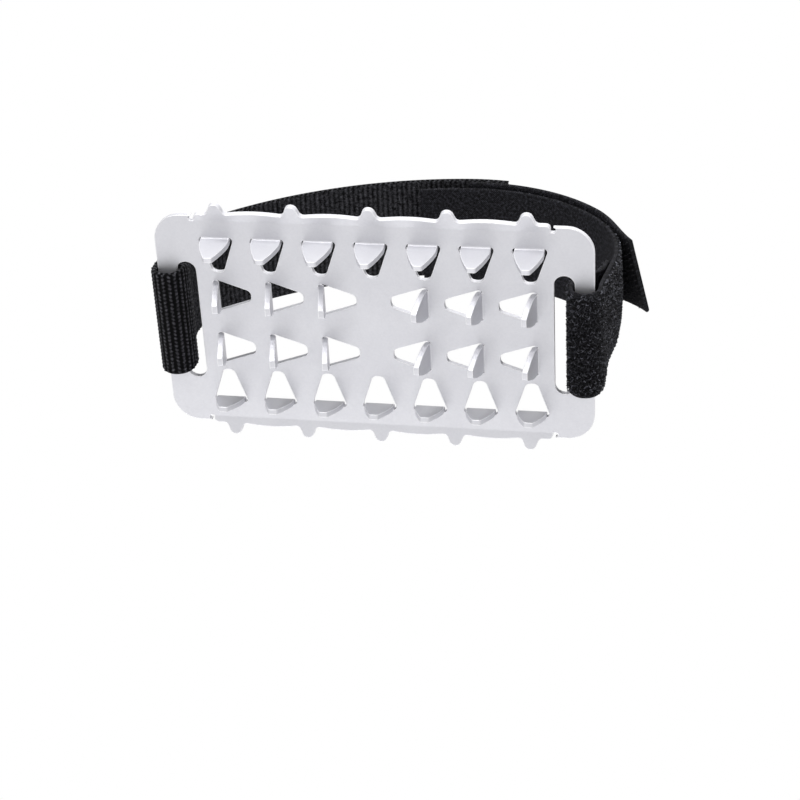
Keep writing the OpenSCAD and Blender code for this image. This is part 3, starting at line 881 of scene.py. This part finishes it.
class CLEAT_OT_hook_tape(bpy.types.Operator):
    """Weaves the hook tape and sets its hooks, from the seam to the lifted end"""

    bl_idname = "cleat.hook_tape"
    bl_label = "Hook tape"

    def execute(self, context):
        sizes, colours = scene_sizes(), scene_colours()
        hook = fibre("drawn_nylon_hooks", colours.black_and_groove_shade, colours.hook, roughness=0.38, bias=1.0)
        materials = [woven_ground(colours), hook]
        root, middle = TAPE.near(TURN["tape_root"]), TAPE.near(TURN["tape_middle"])
        lift = TAPE.twist_from
        more = sizes.hook_height / MM - HOOK_PRESSED

        def height(s, y):
            clear = np.interp(s - lift, HOOK_STAND_S, (0, 1)) * np.interp(y, HOOK_STAND_Y, (0, 1))
            return HOOK_PRESSED + more * clear
        rows = (
            ("hook_tape_root", 0.0, root, ("tape_root",), root, "hook_tape_sewn_end"),
            ("hook_tape_back", root, lift, ("tape_root", "tape_middle"), middle, "hook_tape_middle"),
            ("hook_tape_lifted_end", lift, TAPE.s[-1], ("tape_middle", "tape_tip"), lift + PEEL_L,
             "hook_tape_tip"),
        )
        for name, s0, s1, bodies, bent, node in rows:
            mesh = Mesh()
            add_band(mesh, TAPE, s0, s1, WEAVE_STEP, TAPE_W, TAPE_T - 2 * FACE_BACK, TAPE_COLUMNS,
                     flat_relief, CLOTH_SLOT)
            add_hooks(mesh, TAPE, s0, s1, sizes, TUFT_SLOT, height)
            carry(mesh.make(name, materials), bodies, TAPE, s0, bent, [node])
        return {"FINISHED"}


def clumps(s, y):
    """Shade of the tufts, about a millimetre across: 0.5 + 0.3 x the sum of three waves, kept to 0 to 1.

    One wave runs along the strap and one across it, each bent by the other, and one runs slantwise.
    """
    lengthwise = np.sin(5.1 * s + 2.3 * np.sin(1.9 * y))
    crosswise = np.sin(4.4 * y + 2.6 * np.sin(1.4 * s))
    slantwise = np.sin(3.1 * (s + y))
    return np.clip(0.5 + 0.3 * (lengthwise + crosswise + slantwise), 0, 1)


def add_pile(mesh, track, s0, s1, sizes, slot, height):
    """Loose loops on the right face of a track: half ellipses that lean every way.

    Loop point at angle a: foot + half width x cos a along a random direction of the face
    + height x sin a along the face's normal, with a sideways lean that grows with sin a.
    """
    space = sizes.pile_spacing / MM
    draw = np.random.default_rng(sizes.seed + int(10 * s0))
    columns = np.arange(-PILE_REACH, PILE_REACH + 0.01, space)
    s, y = np.meshgrid(np.arange(s0 + space / 2, s1, space), columns, indexing="ij")
    s = s.ravel() + draw.uniform(-0.5, 0.5, s.size) * space
    s = np.clip(s, s0 + PILE_END, s1 - PILE_END)
    y = np.clip(y.ravel() + draw.uniform(-0.5, 0.5, y.size) * space, *PILE_LIMITS)
    high = height(s) * draw.uniform(*PILE_SPREAD, s.size)
    wide = draw.uniform(*PILE_HALF, s.size)
    turn = draw.uniform(0, 2 * np.pi, s.size)
    lean = draw.normal(0, PILE_LEAN, (s.size, 2))
    a = np.linspace(0, np.pi, PILE_POINTS)
    reach = wide[:, None] * np.cos(a)
    rise = high[:, None] * np.sin(a)
    step_s = np.cos(turn)[:, None] * reach + lean[:, :1] * rise
    step_y = np.sin(turn)[:, None] * reach + lean[:, 1:] * rise
    lines = track.spot(s[:, None], y[:, None] + step_y, -(LOOP_T / 2 - PILE_BACK) - rise, step_s)
    uv = np.stack([s, y], 1) / CLOTH_UNIT
    shade = clumps(s, y) * draw.uniform(*PILE_SHADES, s.size)
    add_wires(mesh, lines, sizes.fibre_radius / MM, FIBRE_SIDES, uv, shade, slot)


class CLEAT_OT_loop_strap(bpy.types.Operator):
    """Weaves the loop strap and raises its pile, from the fold round its bar to its end under the tape"""

    bl_idname = "cleat.loop_strap"
    bl_label = "Loop strap"

    def execute(self, context):
        sizes, colours = scene_sizes(), scene_colours()
        pile = fibre("brushed_nylon_pile", colours.black_and_groove_shade, colours.pile, roughness=0.7, bias=1.6)
        materials = [woven_ground(colours), pile]
        bends = [LOOP.near(TURN[k], PAST_FOLD) for k in ("loop_up", "rise", "loop_shoulder", "loop_span")]
        cuts = [0.0, *bends, LOOP.s[-1]]
        cover = bends[2] - PILE_COVER

        def height(s):
            return np.interp(s - cover, PILE_DOWN, (sizes.pile_height / MM, PILE_PRESSED))
        rows = (
            ("loop_fold_webbing", ("loop_fold",), ["loop_strap_fold"]),
            ("loop_rise_webbing", ("loop_fold", "loop_rise"), ["loop_strap_rise"]),
            ("loop_shoulder_webbing", ("loop_rise", "loop_shoulder"), ["loop_strap_shoulder"]),
            ("loop_span_webbing", ("loop_shoulder", "loop_span"), ["loop_strap_span"]),
            ("loop_end_webbing", ("loop_span", "loop_end"), ["loop_strap_end"]),
        )
        for (name, bodies, nodes), s0, s1 in zip(rows, cuts[:-1], cuts[1:]):
            mesh = Mesh()
            add_band(mesh, LOOP, s0, s1, WEAVE_STEP, STRAP_W, LOOP_T - 2 * FACE_BACK, LOOP_COLUMNS,
                     flat_relief, CLOTH_SLOT)
            add_pile(mesh, LOOP, s0, s1, sizes, TUFT_SLOT, height)
            carry(mesh.make(name, materials), bodies, LOOP, s0, s1, nodes)
        return {"FINISHED"}


def add_stitches(mesh, centre, heading, out, sizes, count=STITCH_COUNT, middle=0.0, sag=0.0):
    """A row of stitches across a strap: each thread rises from the webbing, lies flat and dives again.

    Height over the face = thread radius x (1 - 1.8 x (2 u) ^ 4) for u from -1/2 to 1/2 along the stitch.
    The face lies out from the centre, to the left of the heading or, where out is below 0, to the right.
    """
    y = middle + STITCH_PITCH * (np.arange(count) - (count - 1) / 2)
    u = np.linspace(-0.5, 0.5, STITCH_POINTS)
    r = sizes.thread_radius / MM
    rise = r * (1 - 1.8 * (2 * u) ** 4)
    normal = left(heading) if out > 0 else right(heading)
    lines = np.empty((count, STITCH_POINTS, 3))
    lines[..., 0] = centre[0] + normal[0] * (abs(out) + rise)
    lines[..., 1] = y[:, None] + STITCH_L * STITCH_DIVE * u
    lines[..., 2] = centre[1] + normal[1] * (abs(out) + rise)
    uv = np.stack([np.zeros(count), y], 1) / CLOTH_UNIT
    add_wires(mesh, fall(lines, sag), r, THREAD_SIDES, uv, np.full(count, 0.5), CLOTH_SLOT)


class CLEAT_OT_stitching(bpy.types.Operator):
    """Sews the two folds and the hook tape"""

    bl_idname = "cleat.stitching"
    bl_label = "Stitching"

    def execute(self, context):
        sizes = scene_sizes()
        material = sewing_thread(scene_colours())
        front_c, front_r, h0, lean = SEAMS
        for name, point, h, thick, middle, sag, body, node in (
            ("elastic_fold_thread", TURN["seam_a"], h0, ELASTIC_T, 0.0, 0.0, "elastic_fold",
             "elastic_fold_stitching"),
            ("loop_fold_thread", TURN["seam_b"], lean, LOOP_T, LOOP_SHIFT, LOOP_SAG, "loop_fold",
             "loop_fold_stitching"),
        ):
            mesh = Mesh()
            for k in (-1, 1):
                for out in (-1, 1):
                    add_stitches(mesh, point + k * STITCH_ROW_GAP / 2 * along(h), h,
                                 out * (thick + SEWN_GAP / 2 - THREAD_BACK), sizes, middle=middle, sag=sag)
            piece = mesh.make(name, [material])
            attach(piece, body)
            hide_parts(node)
        mesh = Mesh()
        for k in (-1, 1):
            h = CROWN_SLOPE - math.degrees((TAPE_OVERLAP / 2 - k * STITCH_ROW_GAP) / front_r)
            out = ELASTIC_T / 2 - THREAD_BACK - pressed(TAPE_OVERLAP / 2 + k * STITCH_ROW_GAP)
            add_stitches(mesh, front_c + front_r * left(h), h, out, sizes, TAPE_STITCH_COUNT, TAPE_SHIFT)
        piece = mesh.make("hook_tape_thread", [material])
        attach(piece, "tape_root")
        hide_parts("hook_tape_stitching")
        return {"FINISHED"}


def lamp(name, place, target, size, power):
    """A square soft lamp at a place in metres, turned to face a target."""
    data = bpy.data.lights.new(name, "AREA")
    data.size, data.energy = size, power
    obj = bpy.data.objects.new(name, data)
    ahead = np.subtract(target, place) / np.linalg.norm(np.subtract(target, place))
    pole = (0.0, 1.0, 0.0) if abs(ahead[2]) > 0.9 else (0.0, 0.0, 1.0)
    side = np.cross(ahead, pole)
    side /= np.linalg.norm(side)
    turn = Matrix(np.stack([side, np.cross(side, ahead), -ahead], 1).tolist()).to_4x4()
    turn.translation = place
    obj.matrix_world = turn
    bpy.context.scene.collection.objects.link(obj)


class CLEAT_OT_stage(bpy.types.Operator):
    """Sets the floor under the teeth, the camera below them, the lamps and the white surround"""

    bl_idname = "cleat.stage"
    bl_label = "Stage"

    def execute(self, context):
        scene = context.scene
        colours = scene_colours()
        scene.view_settings.view_transform = "Standard"

        low = CAD_BOX[0][2]
        corners = [(x * FLOOR_HALF, y * FLOOR_HALF, low) for x, y in ((-1, -1), (1, -1), (1, 1), (-1, 1))]
        mesh = bpy.data.meshes.new("floor")
        mesh.from_pydata(corners, [], [(0, 1, 2, 3)])
        floor = bpy.data.objects.new("floor", mesh)
        scene.collection.objects.link(floor)
        # Matt white board, white to the camera. It is open from below, where the photograph's camera stands,
        # to the steel's reflections and to shadow rays, so that light from below reaches the plate.
        material, tree, shader = start_material("matt_white_board")
        shader.inputs["Base Color"].default_value = colours.floor
        shader.inputs["Roughness"].default_value = 0.9
        shader.inputs["Specular IOR Level"].default_value = 0.0
        shader.inputs["Emission Color"].default_value = WHITE
        face = put(tree, "ShaderNodeNewGeometry")
        ray = put(tree, "ShaderNodeLightPath")
        glow = put(tree, "ShaderNodeMath", {"operation": "MULTIPLY"}, {
            0: (ray, "Is Camera Ray"), 1: FLOOR_GLOW})
        link(tree, glow, "Value", shader, "Emission Strength")
        past = put(tree, "ShaderNodeMath", {"operation": "MAXIMUM"}, {
            0: (ray, "Is Glossy Ray"), 1: (ray, "Is Shadow Ray")})
        gone = put(tree, "ShaderNodeMath", {"operation": "MAXIMUM"}, {
            0: (face, "Backfacing"), 1: (past, "Value")})
        clear = put(tree, "ShaderNodeBsdfTransparent")
        both = put(tree, "ShaderNodeMixShader", None, {
            0: (gone, "Value"), 1: (shader, "BSDF"), 2: (clear, "BSDF")})
        output = next(n for n in tree.nodes if n.type == "OUTPUT_MATERIAL")
        tree.links.new(both.outputs[0], output.inputs["Surface"])
        mesh.materials.append(material)

        world = bpy.data.worlds.new("studio")
        scene.world = world
        world.use_nodes = True
        tree = world.node_tree
        tree.nodes.clear()
        ray = put(tree, "ShaderNodeLightPath")
        mirrored = put(tree, "ShaderNodeMath", {"operation": "MAXIMUM"}, {
            0: (ray, "Is Glossy Ray"), 1: (ray, "Is Transmission Ray")})
        seen = put(tree, "ShaderNodeMath", {"operation": "MAXIMUM"}, {
            0: (ray, "Is Camera Ray"), 1: (mirrored, "Value")})
        level = put(tree, "ShaderNodeMapRange", None, {
            "Value": (seen, "Value"), "To Min": SKY_LIGHT, "To Max": 1.0})
        sky = put(tree, "ShaderNodeBackground", None, {"Color": WHITE, "Strength": (level, "Result")})
        put(tree, "ShaderNodeOutputWorld", None, {"Surface": (sky, "Background")})

        for row in LAMPS:
            lamp(*row)

        data = bpy.data.cameras.new("camera")
        data.lens, data.sensor_width = CAMERA_LENS, CAMERA_SENSOR
        data.clip_start, data.clip_end = CAMERA_CLIP
        camera = bpy.data.objects.new("camera", data)
        axes = [CAMERA_RIGHT, -np.array(CAMERA_DOWN), -np.array(CAMERA_AHEAD)]
        turn = Matrix(np.stack(axes, 1).tolist()).to_4x4()
        turn.translation = [c * MM for c in CAMERA_AT]
        camera.matrix_world = turn
        scene.collection.objects.link(camera)
        scene.camera = camera
        return {"FINISHED"}


OPERATORS = (
    CLEAT_OT_tread_plate,
    CLEAT_OT_elastic_strap,
    CLEAT_OT_hook_tape,
    CLEAT_OT_loop_strap,
    CLEAT_OT_stitching,
    CLEAT_OT_stage,
)


class CLEAT_PT_panel(bpy.types.Panel):
    """Lists the cleat's pieces, sizes and colours"""

    bl_idname = "CLEAT_PT_panel"
    bl_label = "Ice Cleat"
    bl_space_type = "VIEW_3D"
    bl_region_type = "UI"
    bl_category = "Ice Cleat"

    def draw(self, context):
        for operator in OPERATORS:
            self.layout.operator(operator.bl_idname)
        for group in (context.scene.cleat_sizes, context.scene.cleat_colours):
            box = self.layout.box()
            for name in group.__annotations__:
                box.prop(group, name)


CLASSES = (CleatSizes, CleatColours, *OPERATORS, CLEAT_PT_panel)


def register():
    """Adds the classes, and the sizes and colours to the scene."""
    for cls in CLASSES:
        bpy.utils.register_class(cls)
    bpy.types.Scene.cleat_sizes = PointerProperty(type=CleatSizes)
    bpy.types.Scene.cleat_colours = PointerProperty(type=CleatColours)


def unregister():
    """Takes them away again."""
    del bpy.types.Scene.cleat_colours
    del bpy.types.Scene.cleat_sizes
    for cls in reversed(CLASSES):
        bpy.utils.unregister_class(cls)


def main():
    """Makes the pieces and the stage in order."""
    register()
    for name in ("tread_plate", "elastic_strap", "hook_tape", "loop_strap", "stitching", "stage"):
        getattr(bpy.ops.cleat, name)()


if __name__ == "__main__":
    main()
